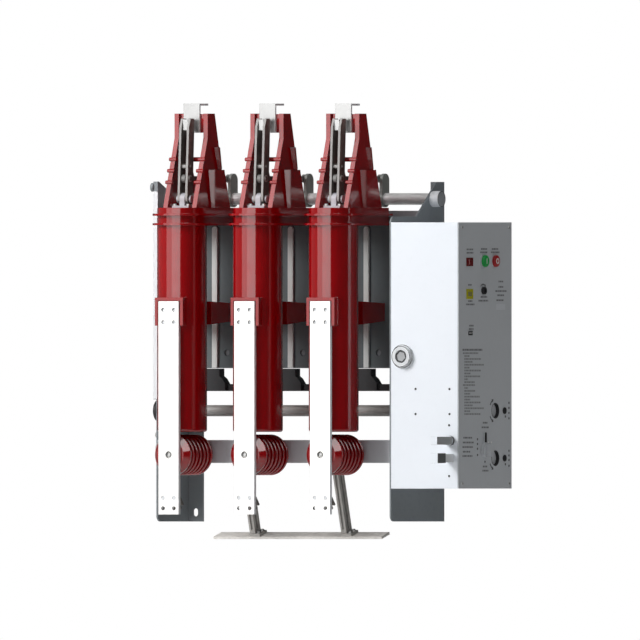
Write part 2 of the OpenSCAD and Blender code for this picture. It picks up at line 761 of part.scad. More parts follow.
// A flanged cup round the hexagon end of a shaft
module drive_socket() color(zinc) row() translate([plate_x + 33, box_y0, box_top - 322]) {
    cup_d = 50;
    cup_l = 11;
    difference() {
        union() {
            rod_y(cup_d + 7, 0, [-4, 0], 0);
            rod_y(cup_d, 0, [-cup_l, 0], 0);
        }
        rod_y(cup_d - 10, 0, [-cup_l - 1, -2], 0);
    }
    rotate([90, 0, 0]) cylinder(d = 33, h = cup_l - 2, $fn = 6);
}

// Two square pins that stand out of the box's front
module front_pins() color(zinc) row() translate([box_x - 20, box_y0, -box_drop]) {
    pin_w = 18;
    upper_l = 78;
    lower_l = 77;
    head_l = 38;
    x = [-pin_w / 2, pin_w / 2];
    block(x, [-upper_l, 0], [105.5, 124.5]);
    rod_y(24, 0, [-7, 0], 115);
    block(x, [-lower_l + head_l - eps, 0], [63, 83]);
    block([x[0] - 1, x[1] + 1], [-lower_l, -lower_l + head_l], [61, 85]);
}

pole(1);  // pole_1
pole(2);  // pole_2
pole(3);  // pole_3
isolator_guard(1);  // isolator_guard_1
isolator_guard(2);  // isolator_guard_2
isolator_guard(3);  // isolator_guard_3
top_terminal(1);  // top_terminal_1
top_terminal(2);  // top_terminal_2
top_terminal(3);  // top_terminal_3
blade_pair(1);  // blade_pair_1
blade_pair(2);  // blade_pair_2
blade_pair(3);  // blade_pair_3
busbar(1);  // busbar_1
busbar(2);  // busbar_2
busbar(3);  // busbar_3
post_insulator(1);  // post_insulator_1
post_insulator(2);  // post_insulator_2
post_insulator(3);  // post_insulator_3
pivot_brackets();
earth_contacts();
left_side_plate();
right_side_plate();
back_panel();
pole_rails();
lower_beam();
rear_rail();
shaft_bearings();
isolator_shaft();
pull_rods();
drive_shaft();
drive_shaft_cap();
lever_bar();
earth_shaft();
earth_bar();
mechanism_box();
control_panel();
close_button();
open_button();
indicator_windows();
charging_socket();
operating_sockets();
selector_lever();
drive_socket();
front_pins();
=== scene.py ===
"""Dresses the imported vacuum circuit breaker: finishes, fasteners, panel marks and a plain studio."""

import json
import math

import bmesh
import bpy
from mathutils import Matrix, Vector


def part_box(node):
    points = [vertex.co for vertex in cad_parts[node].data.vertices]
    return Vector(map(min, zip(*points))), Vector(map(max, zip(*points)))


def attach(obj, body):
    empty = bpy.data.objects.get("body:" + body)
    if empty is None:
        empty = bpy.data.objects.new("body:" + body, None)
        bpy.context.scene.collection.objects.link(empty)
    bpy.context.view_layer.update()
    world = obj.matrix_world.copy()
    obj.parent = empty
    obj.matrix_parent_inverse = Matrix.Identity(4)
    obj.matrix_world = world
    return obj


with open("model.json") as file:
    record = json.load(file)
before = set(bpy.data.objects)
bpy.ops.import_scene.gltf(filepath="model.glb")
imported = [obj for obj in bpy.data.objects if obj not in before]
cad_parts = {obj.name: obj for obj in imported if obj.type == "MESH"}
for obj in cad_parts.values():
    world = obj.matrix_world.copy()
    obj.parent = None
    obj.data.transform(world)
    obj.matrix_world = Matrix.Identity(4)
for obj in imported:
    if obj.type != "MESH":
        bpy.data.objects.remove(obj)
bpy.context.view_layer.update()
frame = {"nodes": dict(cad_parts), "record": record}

bl_info = {
    "name": "Vacuum circuit breaker",
    "version": (1, 0, 0),
    "blender": (4, 5, 0),
    "location": "View3D > Sidebar > Breaker",
    "description": "Finishes, fasteners and panel marks for a side-mounted vacuum circuit breaker",
    "category": "Object",
}

NODES = frame["nodes"]
POLES = (1, 2, 3)


def middle(node):
    """Centre of a CAD node's box."""
    low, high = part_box(node)
    return (Vector(low) + Vector(high)) / 2


POLE_REACH = 0.071
PANEL_THICK = 0.003
POLE_X = [middle("busbar_%d" % i).x for i in POLES]
POLE_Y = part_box("pole_1")[0][1] + POLE_REACH
BAR_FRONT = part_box("busbar_1")[0][1]
POLE_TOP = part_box("pole_1")[1][2]
(_, BOX_FRONT, BOX_FOOT), (BOX_SIDE, BOX_BACK, BOX_TOP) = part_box("mechanism_box")
PANEL_FACE = BOX_SIDE + PANEL_THICK


# Sizes and colours that a user would change

def length(name, note, value):
    return bpy.props.FloatProperty(name=name, description=note, default=value, min=0.0, unit="LENGTH")


def colour(name, note, value):
    return bpy.props.FloatVectorProperty(name=name, description=note, default=value, size=3, min=0.0, max=1.0,
                                         subtype="COLOR")


class BreakerSizes(bpy.types.PropertyGroup):
    """Sizes of the fasteners and of the marks."""
    large_bolt: length("Large bolt", "Width across flats of the bolts behind the insulators", 0.018)
    frame_bolt: length("Frame bolt", "Width across flats of the bolts in the frame", 0.013)
    small_bolt: length("Small bolt", "Width across flats of the bolts on brackets and terminals", 0.008)
    screw: length("Panel screw", "Diameter of the heads of the screws in the box and its panel", 0.0075)
    box_screw: length("Box screw", "Diameter of the small dark screws in the box's front", 0.0055)
    print_height: length("Print height", "Height of a row of plain print bars", 0.0040)
    print_skin: length("Print skin", "How far the printed marks stand proud of the panel", 0.0002)
    edge_round: length("Edge round", "Radius to which the shading rounds the edges of the solids", 0.0011)
    cast_round: length("Cast round", "Radius to which the shading rounds the edges of the cast epoxy", 0.0018)


class BreakerColours(bpy.types.PropertyGroup):
    """Base colours of the finishes."""
    epoxy: colour("Epoxy", "Cast resin of the poles, guards and insulators", (0.315, 0.001, 0.003))
    silver: colour("Plated copper", "Silvered busbars", (0.90, 0.89, 0.87))
    blade: colour("Blade metal", "Worn contact blades", (0.17, 0.157, 0.145))
    steel: colour("Plated steel", "Zinc plated bolts and screws", (0.56, 0.56, 0.55))
    terminal: colour("Terminal metal", "Top terminals", (0.50, 0.50, 0.495))
    galvanised: colour("Galvanised steel", "Arms and bar of the earthing switch", (0.80, 0.77, 0.73))
    pin_grey: colour("Pin grey", "Square pins on the box's front", (0.42, 0.43, 0.44))
    frame_grey: colour("Frame grey", "Powder coat of the side plates", (0.215, 0.235, 0.25))
    beam_grey: colour("Beam grey", "Powder coat of the lower beam and the rear rail", (0.58, 0.595, 0.63))
    dull_grey: colour("Dull steel", "Drive shaft, pull rods and clips", (0.42, 0.415, 0.40))
    shaft_grey: colour("Shaft grey", "Bright drawn steel of the isolator shaft", (0.88, 0.875, 0.87))
    crank_grey: colour("Crank grey", "Cranks on the isolator shaft", (0.26, 0.272, 0.255))
    # Blade edge paints a highlight: a lighter, duller coat on the blades' front faces
    blade_edge: colour("Blade edge", "Polished edges of the contact blades", (0.34, 0.33, 0.32))
    # Back panel grey is painted shade: the frame's coat darkened for the shade that the poles cast on that
    # panel
    back_shade_grey: colour("Back panel grey", "Powder coat of the panel behind the poles", (0.105, 0.125, 0.132))
    # Trim grey also paints the highlight on the left plate's flange and the light on the right sides of the
    # busbars and top terminals
    trim_grey: colour("Trim grey", "Bearings, drive socket and bare edges", (0.74, 0.76, 0.78))
    # Edge grey also paints light on the back panel's upper edge, where that panel is lit
    edge_grey: colour("Edge grey", "Pivot brackets, and upper edge of the back panel", (0.45, 0.44, 0.47))
    strip_grey: colour("Strip grey", "Pale strips behind the poles", (0.74, 0.765, 0.75))
    box_white: colour("Box white", "Powder coat of the mechanism box", (0.86, 0.90, 0.955))
    panel_grey: colour("Panel grey", "Paint of the control panel", (0.585, 0.608, 0.635))
    black: colour("Black plastic", "Levers and sockets", (0.016, 0.016, 0.018))
    green: colour("Green button", "Closing button", (0.014, 0.41, 0.075))
    red: colour("Red button", "Opening button", (0.42, 0.012, 0.016))
    window_red: colour("Red window", "Contact indicator", (0.16, 0.003, 0.005))
    yellow: colour("Yellow window", "Spring indicator", (0.60, 0.56, 0.02))


def sizes():
    return bpy.context.scene.breaker_sizes


def shades():
    return bpy.context.scene.breaker_colours


# Shader maths

class Wire:
    """A shader socket that can be used in arithmetic."""

    def __init__(self, board, socket):
        self.board, self.socket = board, socket

    def _maths(self, operation, a, b):
        return self.board.add("ShaderNodeMath", {"operation": operation}, {0: a, 1: b})

    def __add__(self, other):
        return self._maths("ADD", self, other)

    __radd__ = __add__

    def __sub__(self, other):
        return self._maths("SUBTRACT", self, other)

    def __rsub__(self, other):
        return self._maths("SUBTRACT", other, self)

    def __mul__(self, other):
        return self._maths("MULTIPLY", self, other)

    __rmul__ = __mul__

    def __gt__(self, other):
        return self._maths("GREATER_THAN", self, other)


class Board:
    """A node tree and the one method that adds nodes to it."""

    def __init__(self, tree):
        self.tree = tree

    def feed(self, socket, value):
        if isinstance(value, Wire):
            self.tree.links.new(value.socket, socket)
        else:
            socket.default_value = (*value, 1.0) if socket.type == "RGBA" else value

    def add(self, kind, settings, inputs, output=0):
        """Adds a node: settings first, then the values or links of its sockets."""
        node = self.tree.nodes.new(kind)
        for name, value in settings.items():
            setattr(node, name, value)
        for name, value in inputs.items():
            self.feed(node.inputs[name], value)
        return Wire(self, node.outputs[output])


class Finish(Board):
    """One material and the nodes that feed its shader."""

    def __init__(self, name, **constants):
        self.material = bpy.data.materials.new(name)
        self.material.use_nodes = True
        super().__init__(self.material.node_tree)
        self.shader = next(n for n in self.tree.nodes if n.type == "BSDF_PRINCIPLED")
        self.set(constants)
        self.place = self.add("ShaderNodeTexCoord", {}, {}, "Object")

    def set(self, values):
        for name, value in values.items():
            self.feed(self.shader.inputs[name], value)

    def noise(self, scale, detail=2.0, stretch=(1, 1, 1), rough=0.5):
        """Noise of that many features to the metre, stretched along the axes."""
        place = self.place
        if stretch != (1, 1, 1):
            place = self.add("ShaderNodeMapping", {}, {"Vector": place, "Scale": stretch})
        return self.add("ShaderNodeTexNoise", {},
                        {"Vector": place, "Scale": scale, "Detail": detail, "Roughness": rough}, "Fac")

    def ramp(self, value, low, high):
        """Value spread from 0 at low to 1 at high."""
        return self.add("ShaderNodeMapRange", {"interpolation_type": "SMOOTHSTEP"},
                        {"Value": value, "From Min": low, "From Max": high})

    def mix(self, factor, a, b):
        """Colour a where the factor is 0 and b where it is 1."""
        return self.add("ShaderNodeMix", {"data_type": "RGBA"}, {0: factor, 6: a, 7: b}, 2)

    def axis(self, name):
        return self.add("ShaderNodeSeparateXYZ", {}, {0: self.place}, name)

    def relief(self, height, depth, radius=None):
        """Normal of a relief of that depth, over edges that the shading rounds to a radius."""
        rounded = self.add("ShaderNodeBevel", {"samples": 4}, {"Radius": radius or sizes().edge_round})
        bump = {"Height": height, "Distance": depth, "Strength": 1.0, "Normal": rounded}
        self.set({"Normal": self.add("ShaderNodeBump", {}, bump)})


def tinted(shade, factor):
    return tuple(min(1.0, c * factor) for c in shade)


def cast_epoxy():
    f = Finish("cast_epoxy", **{"IOR": 1.5, "Coat Roughness": 0.05})
    shade = shades().epoxy
    cloud = f.ramp(f.noise(7, 4), 0.3, 0.7)
    speck = f.ramp(f.noise(420, 2), 0.66, 0.74)
    film = f.ramp(f.noise(26, 6, rough=0.6), 0.42, 0.72)
    base = f.mix(cloud, tinted(shade, 0.92), tinted(shade, 1.06))
    f.set({"Base Color": f.mix(speck * 0.25, base, tinted(shade, 0.6)),
           "Roughness": 0.10 + film * 0.07, "Coat Weight": 1.0 - film * 0.2})
    f.relief(f.noise(120, 2), 0.00008, sizes().cast_round)
    return f.material


def plated_copper():
    f = Finish("plated_copper", **{"Metallic": 1.0})
    shade = shades().silver
    lines = f.noise(30, 3, (30, 30, 0.8))
    haze = f.ramp(f.noise(11, 5), 0.45, 0.8)
    touch = f.ramp(f.noise(60, 3), 0.62, 0.8)
    f.set({"Base Color": f.mix(haze * 0.4, shade, (0.80, 0.75, 0.66)),
           "Roughness": 0.24 + lines * 0.16 + haze * 0.08 + touch * 0.06})
    f.relief(lines, 0.00003)
    return f.material


def worked_metal(name, shade, metallic, gloss, grain, patchy=0.15):
    """Metal with cloudy plating and fine marks across the grain's axes."""
    f = Finish(name, **{"Metallic": metallic})
    cloud = f.ramp(f.noise(38, 5, rough=0.65), 0.35, 0.7)
    marks = f.noise(24, 2, grain)
    f.set({"Base Color": f.mix(cloud, tinted(shade, 1 - patchy), tinted(shade, 1 + patchy)),
           "Roughness": gloss + cloud * 0.14 + marks * 0.08})
    f.relief(marks, 0.00004)
    return f.material


def powder_coat(name, shade, gloss, wear):
    """Baked powder coat: fine orange peel, a little cloud and dust, and worn gloss."""
    f = Finish(name, **{"IOR": 1.48})
    cloud = f.noise(6, 4)
    dust = f.ramp(f.noise(70, 6, rough=0.65), 0.5, 0.78)
    base = f.mix(cloud, tinted(shade, 1 - wear), tinted(shade, 1 + wear * 0.6))
    f.set({"Base Color": f.mix(dust * (wear * 1.4), base, tinted(shade, 0.55)),
           "Roughness": gloss + dust * 0.14 + cloud * 0.06})
    f.relief(f.noise(520, 2), 0.00007)
    return f.material


def moulded_plastic(name, shade, gloss):
    f = Finish(name, **{"IOR": 1.46})
    grain = f.noise(900, 2)
    scuff = f.ramp(f.noise(90, 5), 0.55, 0.8)
    f.set({"Base Color": f.mix(scuff * 0.35, shade, tuple(c * 0.8 + 0.03 for c in shade)),
           "Roughness": gloss + scuff * 0.15})
    f.relief(grain, 0.00003)
    return f.material


def indicator_window():
    """Clear-faced windows: red above, yellow below it and a dark counter at the foot."""
    f = Finish("indicator_window", **{"IOR": 1.5, "Coat Weight": 0.6, "Coat Roughness": 0.03})
    z = f.axis("Z")
    card = f.ramp(f.noise(200, 3), 0.4, 0.7)
    upper = f.mix(z > BOX_TOP - 0.133, shades().yellow, shades().window_red)
    shade = f.mix(z > BOX_TOP - 0.219, (0.03, 0.03, 0.033), upper)
    f.set({"Base Color": f.mix(card * 0.2, shade, (0.05, 0.03, 0.02)), "Roughness": 0.22 + card * 0.1})
    f.relief(card, 0.00003)
    return f.material


def printed_ink(name, shade):
    f = Finish(name, **{"IOR": 1.45})
    patch = f.noise(700, 3)
    f.set({"Base Color": f.mix(patch, tinted(shade, 0.85), tinted(shade, 1.15)),
           "Roughness": 0.5 + patch * 0.1})
    return f.material


def pin_steel():
    """Square pins: bright rear part and dark head on the lower one, and a dark flange on the upper one."""
    f = Finish("pin_steel", **{"IOR": 1.5})
    low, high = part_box("front_pins")
    lower = (f.axis("Z") * -1.0) > -(low[2] + high[2]) / 2
    rear = f.axis("Y") > low[1] + 0.039
    flange = f.axis("Y") > high[1] - 0.0075
    cloud = f.noise(40, 4)
    shade = shades().pin_grey
    upper_shade = f.mix(flange, shade, tinted(shade, 0.22))
    lower_shade = f.mix(rear, tinted(shade, 0.3), tinted(shade, 2.0))
    base = f.mix(lower, upper_shade, lower_shade)
    f.set({"Base Color": f.mix(cloud * 0.2, base, (0.1, 0.1, 0.1)), "Roughness": 0.38 + cloud * 0.12})
    f.relief(cloud, 0.00004)
    return f.material


def two_tone(name, centre, axes, radius, inside, outside, gloss):
    """Metal that changes tone at a radius from an axis, as a shaft and its cranks do."""
    f = Finish(name, **{"Metallic": 0.12})
    a, b = (f.axis(k) - getattr(centre, k.lower()) for k in axes)
    outer = (a * a + b * b) > radius ** 2
    cloud = f.ramp(f.noise(60, 4), 0.35, 0.7)
    base = f.mix(outer, inside, outside)
    f.set({"Base Color": f.mix(cloud * 0.12, base, (0.3, 0.3, 0.3)), "Roughness": gloss + cloud * 0.12})
    f.relief(cloud, 0.00003)
    return f.material


FINISHES = {}
OTHER_FINISH = {"earth_shaft": "arm_steel", "earth_bar": "galvanised", "front_pins": "pin_steel",
                "lower_beam": "beam_paint", "rear_rail": "beam_paint", "isolator_shaft": "shaft_steel",
                "drive_shaft": "dull_steel", "pull_rods": "rod_steel", "earth_contacts": "blade_metal",
                "pivot_brackets": "bracket_steel", "shaft_bearings": "bearing_steel",
                "drive_socket": "socket_metal", "back_panel": "back_paint",
                **{"top_terminal_%d" % i: "terminal_metal" for i in POLES},
                **{"blade_pair_%d" % i: "blade_metal" for i in POLES}}


def finishes():
    """The finish of each material slot, and of the marks."""
    if not FINISHES:
        c = shades()
        drawn, brushed = (14, 1, 1), (30, 30, 1)
        metals = {
            "plated_steel": (c.steel, 1.0, 0.30, drawn),
            "blade_metal": (c.blade, 1.0, 0.46, brushed),
            "galvanised": (c.galvanised, 0.2, 0.45, (2, 4, 4), 0.08),
            "terminal_metal": (c.terminal, 1.0, 0.28, (20, 20, 1), 0.04),
            "bearing_steel": (c.trim_grey, 0.1, 0.40, drawn),
            # Painted highlight on the blades' front faces
            "blade_edge": (c.blade_edge, 0.0, 0.40, brushed, 0.06),
            # Earthing arms: the galvanised steel darkened, painted shade
            "arm_steel": (tinted(c.galvanised, 0.62), 0.2, 0.45, (4, 4, 2), 0.08),
            "rod_steel": (tinted(c.dull_grey, 0.45), 0.2, 0.40, drawn, 0.06),
            "bracket_steel": (c.edge_grey, 0.1, 0.40, drawn, 0.06),
            "dull_steel": (c.dull_grey, 0.2, 0.40, drawn, 0.06),
        }
        two_tones = {
            "socket_metal": (middle("drive_socket"), "XZ", 0.0175, tinted(c.trim_grey, 0.5), c.trim_grey,
                             0.34),
            "shaft_steel": (middle("shaft_bearings"), "YZ", 0.0146, c.shaft_grey, c.crank_grey, 0.28),
        }
        coats = {
            # Also the painted highlight on the left plate's flange and the painted light on the conductors'
            # right sides
            "trim_paint": (c.trim_grey, 0.42, 0.05),
            # Painted light along the back panel's upper edge
            "edge_paint": (c.edge_grey, 0.42, 0.08),
            "end_paint": (tinted(c.trim_grey, 0.35), 0.45, 0.08),
            # Painted shade in the grooves of the earthing arms
            "groove_paint": (tinted(c.galvanised, 0.3), 0.50, 0.15),
            "beam_paint": (c.beam_grey, 0.40, 0.10),
            "rail_strip": (c.strip_grey, 0.45, 0.08),
            "frame_steel": (c.frame_grey, 0.40, 0.12),
            # Painted shade: the back panel darkened for the poles' shade
            "back_paint": (c.back_shade_grey, 0.40, 0.12),
            "box_paint": (c.box_white, 0.42, 0.03),
            "panel_paint": (c.panel_grey, 0.48, 0.04),
        }
        plastics = {"black_plastic": (c.black, 0.38), "green_button": (c.green, 0.30),
                    "red_button": (c.red, 0.30)}
        inks = {
            "dark_print": ((0.10, 0.102, 0.108),),
            "caption_print": ((0.20, 0.205, 0.215),),
            "soft_print": ((0.29, 0.30, 0.31),),
            "label_print": ((0.66, 0.68, 0.715),),
            "light_print": ((0.82, 0.82, 0.80),),
            "pink_print": ((0.50, 0.22, 0.22),),
            # Outline ink paints shade: the dark rings on the drive socket and at the bearing caps' rims
            "outline": ((0.03, 0.03, 0.033),),
        }
        for make, rows in ((worked_metal, metals), (two_tone, two_tones), (powder_coat, coats),
                           (moulded_plastic, plastics), (printed_ink, inks)):
            FINISHES.update({name: make(name, *values) for name, values in rows.items()})
        FINISHES.update({"epoxy": cast_epoxy(), "tinned_copper": plated_copper(), "pin_steel": pin_steel(),
                         "window": indicator_window()})
    return FINISHES


# Repeated fasteners

class Layout(Board):
    """A Geometry Nodes tree that puts one small shape on every point, along the point's facing."""

    def __init__(self, name, lengths, materials=("Material",)):
        super().__init__(bpy.data.node_groups.new(name, "GeometryNodeTree"))
        face = self.tree.interface
        face.new_socket("Geometry", in_out="INPUT", socket_type="NodeSocketGeometry")
        for label, value in lengths.items():
            face.new_socket(label, in_out="INPUT", socket_type="NodeSocketFloat").default_value = value
        for label in materials:
            face.new_socket(label, in_out="INPUT", socket_type="NodeSocketMaterial")
        face.new_socket("Geometry", in_out="OUTPUT", socket_type="NodeSocketGeometry")
        self.source = self.tree.nodes.new("NodeGroupInput")

    def given(self, label):
        return Wire(self, self.source.outputs[label])

    def lifted(self, mesh, height):
        offset = self.add("ShaderNodeCombineXYZ", {}, {"Z": height})
        return self.add("GeometryNodeTransform", {}, {"Geometry": mesh, "Translation": offset})

    def drum(self, sides, radius, depth, height):
        """A cylinder of that many sides whose lower face is at that height."""
        mesh = self.add("GeometryNodeMeshCylinder", {}, {"Vertices": sides, "Radius": radius, "Depth": depth})
        return self.lifted(mesh, height + depth * 0.5)

    def frustum(self, sides, low, top, depth, height):
        """A cut cone of that many sides whose lower face is at that height."""
        mesh = self.add("GeometryNodeMeshCone", {},
                        {"Vertices": sides, "Radius Bottom": low, "Radius Top": top, "Depth": depth})
        return self.lifted(mesh, height)

    def tagged(self, mesh, tag):
        """Marks the mesh's faces with a named attribute."""
        return self.add("GeometryNodeStoreNamedAttribute", {"data_type": "BOOLEAN", "domain": "FACE"},
                        {"Geometry": mesh, "Name": tag, "Value": True})

    def joined(self, *meshes):
        node = self.tree.nodes.new("GeometryNodeJoinGeometry")
        for mesh in meshes:
            self.tree.links.new(mesh.socket, node.inputs[0])
        return Wire(self, node.outputs[0])

    def attribute(self, name, kind):
        return self.add("GeometryNodeInputNamedAttribute", {"data_type": kind}, {"Name": name})

    def ended(self, shape, how, recess=None):
        """Puts the shape on the points, paints it, the faces tagged recess apart, and closes the tree."""
        placed = self.add("GeometryNodeInstanceOnPoints", {},
                          {"Points": self.given("Geometry"), "Instance": shape, **how})
        real = self.add("GeometryNodeRealizeInstances", {}, {"Geometry": placed})
        done = self.add("GeometryNodeSetMaterial", {}, {"Geometry": real, "Material": self.given("Material")})
        if recess:
            done = self.add("GeometryNodeSetMaterial", {},
                            {"Geometry": done, "Selection": self.attribute("recess", "BOOLEAN"),
                             "Material": recess})
        end = self.tree.nodes.new("NodeGroupOutput")
        self.tree.links.new(done.socket, end.inputs[0])
        return self.tree

    def spread(self, shape, recess=None):
        """The shape on the points, along their facing and each turned by its own amount."""
        aligned = self.add("FunctionNodeAlignRotationToVector", {"axis": "Z"},
                           {"Vector": self.attribute("facing", "FLOAT_VECTOR")})
        turn = self.add("FunctionNodeRandomValue", {"data_type": "FLOAT"},
                        {2: 0.0, 3: math.tau, "Seed": 7}, 1)
        spin = self.add("FunctionNodeEulerToRotation", {},
                        {0: self.add("ShaderNodeCombineXYZ", {}, {"Z": turn})})
        turned = self.add("FunctionNodeRotateRotation", {"rotation_space": "LOCAL"},
                          {"Rotation": aligned, "Rotate By": spin})
        return self.ended(shape, {"Rotation": turned}, recess)


def hex_bolt_tree():
    """Hexagon bolt head with a chamfered crown on a plain washer."""
    t = Layout("hex_bolts", {"Across flats": 0.013, "Head height": 0.006, "Washer thickness": 0.0015})
    flats, tall, washer = t.given("Across flats"), t.given("Head height"), t.given("Washer thickness")
    corner = flats * (1 / math.sqrt(3))
    body, crown = tall * 0.78, tall * 0.22
    shape = t.joined(t.drum(28, flats * 0.88, washer, 0.0),
                     t.drum(6, corner, body, washer),
                     t.frustum(6, corner, flats * 0.48, crown, washer + body),
                     t.drum(20, flats * 0.3, tall * 0.05, washer + tall))
    return t.spread(shape)


def panel_screw_tree():
    """Low domed screw head with a dark cross on top, painted shade of its cross recess."""
    t = Layout("panel_screws", {"Diameter": 0.008, "Head height": 0.0018}, ("Material", "Recess material"))
    radius, tall = t.given("Diameter") * 0.5, t.given("Head height")
    head = t.joined(t.drum(24, radius, tall * 0.4, 0.0),
                    t.frustum(24, radius, radius * 0.86, tall * 0.35, tall * 0.4),
                    t.frustum(24, radius * 0.86, radius * 0.5, tall * 0.25, tall * 0.75))
    # The bars make a dark cross on top: painted shade of the cross recess
    bars = []
    for long, wide in ((1.05, 0.2), (0.2, 1.05)):
        size = t.add("ShaderNodeCombineXYZ", {}, {"X": radius * long, "Y": radius * wide, "Z": tall * 0.1})
        bars.append(t.lifted(t.add("GeometryNodeMeshCube", {}, {"Size": size}), tall * 0.99))
    return t.spread(t.joined(head, t.tagged(t.joined(*bars), "recess")), t.given("Recess material"))


def print_bar_tree():
    """Flat printed bar, as deep, wide and tall as its point says."""
    t = Layout("print_bars", {})
    cube = t.add("GeometryNodeMeshCube", {}, {"Size": (1, 1, 1)})
    return t.ended(cube, {"Scale": t.attribute("size", "FLOAT_VECTOR")})


def print_dot_tree():
    """Flat printed dot."""
    t = Layout("print_dots", {"Diameter": 0.003, "Skin": 0.0003})
    return t.spread(t.drum(20, t.given("Diameter") * 0.5, t.given("Skin"), 0.0))


def linked(name, data):
    piece = bpy.data.objects.new(name, data)
    bpy.context.scene.collection.objects.link(piece)
    return piece


def repeated(name, tree, spots, body, values, told="facing"):
    """One plain mesh of the tree's shape at every (point, facing or size), riding on a body."""
    points = bpy.data.meshes.new(name)
    points.from_pydata([tuple(p) for p, _ in spots], [], [])
    notes = points.attributes.new(told, "FLOAT_VECTOR", "POINT")
    for item, (_, value) in zip(notes.data, spots):
        item.vector = value
    piece = linked(name, points)
    modifier = piece.modifiers.new("layout", "NODES")
    modifier.node_group = tree
    keys = {i.name: i.identifier for i in tree.interface.items_tree if i.in_out == "INPUT"}
    for label, value in values.items():
        modifier[keys[label]] = value
    graph = bpy.context.evaluated_depsgraph_get()
    made = bpy.data.meshes.new_from_object(piece.evaluated_get(graph))
    piece.modifiers.clear()
    piece.data = made
    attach(piece, body)
    return piece


def bolts(name, points, way, across, body="frame", height=0.45):
    return repeated(name, hex_bolt_tree(), facing(points, way), body,
                    {"Across flats": across, "Head height": across * height,
                     "Washer thickness": across * 0.12, "Material": finishes()["plated_steel"]})


def screws(name, points, way, across, paint):
    # The recess material paints the shade of the cross recess, in dark print ink
    return repeated(name, panel_screw_tree(), facing(points, way), "frame",
                    {"Diameter": across, "Head height": across * 0.24, "Material": finishes()[paint],
                     "Recess material": finishes()["dark_print"]})


# Plain meshes

PINHOLE = 0.0003
FRONT, BACK, UP, RIGHT, LEFT = (0, -1, 0), (0, 1, 0), (0, 0, 1), (1, 0, 0), (-1, 0, 0)


def solid(name, build, slot, body="frame", paint=None, smooth=False):
    """A closed mesh from a bmesh builder, riding on a body."""
    bm = bmesh.new()
    build(bm)
    bmesh.ops.recalc_face_normals(bm, faces=bm.faces)
    for face in bm.faces:
        face.smooth = smooth
    mesh = bpy.data.meshes.new(name)
    bm.to_mesh(mesh)
    bm.free()
    mesh.materials.append(finishes()[paint or slot])
    piece = linked(name, mesh)
    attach(piece, body)
    return piece


def slab(bm, low, high):
    """A box between two corners."""
    size = [b - a for a, b in zip(low, high)]
    centre = [(a + b) / 2 for a, b in zip(low, high)]
    bmesh.ops.create_cube(bm, size=1.0, matrix=Matrix.Translation(centre) @ Matrix.Diagonal((*size, 1.0)))


def turned(bm, profile, centre, axis, steps=48):
    """A closed (radius, distance) profile turned about an axis through a point."""
    centre, axis = Vector(centre), Vector(axis)
    side = axis.orthogonal().normalized()
    ways = [Matrix.Rotation(math.tau * k / steps, 3, axis) @ side for k in range(steps)]
    rings = [[bm.verts.new(centre + axis * along + way * radius) for way in ways]
             for radius, along in profile]
    for a, b in zip(rings, rings[1:] + rings[:1]):
        for k in range(steps):
            j = (k + 1) % steps
            bm.faces.new((a[k], a[j], b[j], b[k]))


def ring_profile(inner, outer, low, high, edge):
    """A washer's section with its outer edges broken."""
    return [(inner, low), (outer - edge, low), (outer, low + edge), (outer, high - edge),
            (outer - edge, high), (inner, high)]


def disc_profile(radius, back, front, edge, drop):
    """A disc's section, with a pinhole at its axis and its front edge broken over a width and a drop."""
    return [(PINHOLE, back), (radius, back), (radius, front + drop), (radius - edge, front), (PINHOLE, front)]


def lathed(name, parts, slot="plated_steel", **more):
    """A piece of turned profiles, each with what turned() asks for."""
    def build(bm):
        for part in parts:
            turned(bm, *part)

    return solid(name, build, slot, **more)


def edge_skin(name, node, way, body, paint):
    """Thin plates over the faces of a conductor that look one way."""
    mesh, out = NODES[node].data, Vector(way) * sizes().print_skin
    faces = [p.vertices[:] for p in mesh.polygons if p.normal.dot(Vector(way)) >= 0.9]
    rims = [edge for face in faces for edge in zip(face, face[1:] + face[:1])]

    def build(bm):
        corners = dict.fromkeys(a for a, _ in rims)
        low, high = ({a: bm.verts.new(mesh.vertices[a].co + rise) for a in corners}
                     for rise in (Vector(), out))
        for face in faces:
            bm.faces.new([low[a] for a in reversed(face)])
            bm.faces.new([high[a] for a in face])
        for a, b in rims:
            if (b, a) not in rims:
                bm.faces.new((low[a], low[b], high[b], high[a]))

    return solid(name, build, "tinned_copper", body, paint)


def prism(bm, low, high):
    """A closed prism between two outlines of as many points."""
    rings = [[bm.verts.new(p) for p in ring] for ring in (low, high)]
    bm.faces.new(rings[0])
    bm.faces.new(rings[1][::-1])
    for k in range(len(low)):
        j = (k + 1) % len(low)
        bm.faces.new((rings[0][k], rings[1][k], rings[1][j], rings[0][j]))


def at_poles(*spots):
    """(X, Y, Z) spots counted from each pole's axis, for all poles."""
    return [Vector((x + s[0], POLE_Y + s[1], s[2])) for x in POLE_X for s in spots]


def facing(points, way):
    return [(p, way) for p in points]


# Operators

class Step:
    """What the operators share: each makes its pieces in make()."""

    def execute(self, context):
        self.make(context)
        return {"FINISHED"}


class BREAKER_OT_finish_solids(Step, bpy.types.Operator):
    """Gives every solid of the frame its finish"""
    bl_idname = "breaker.finish_solids"
    bl_label = "Finish the solids"

    def make(self, context):
        for row in frame["record"]["subparts"]:
            node = NODES[row["node"]]
            paint = finishes()[OTHER_FINISH.get(row["node"], row["material_slot"])]
            if node.material_slots:
                for place in node.material_slots:
                    place.material = paint
            else:
                node.data.materials.append(paint)


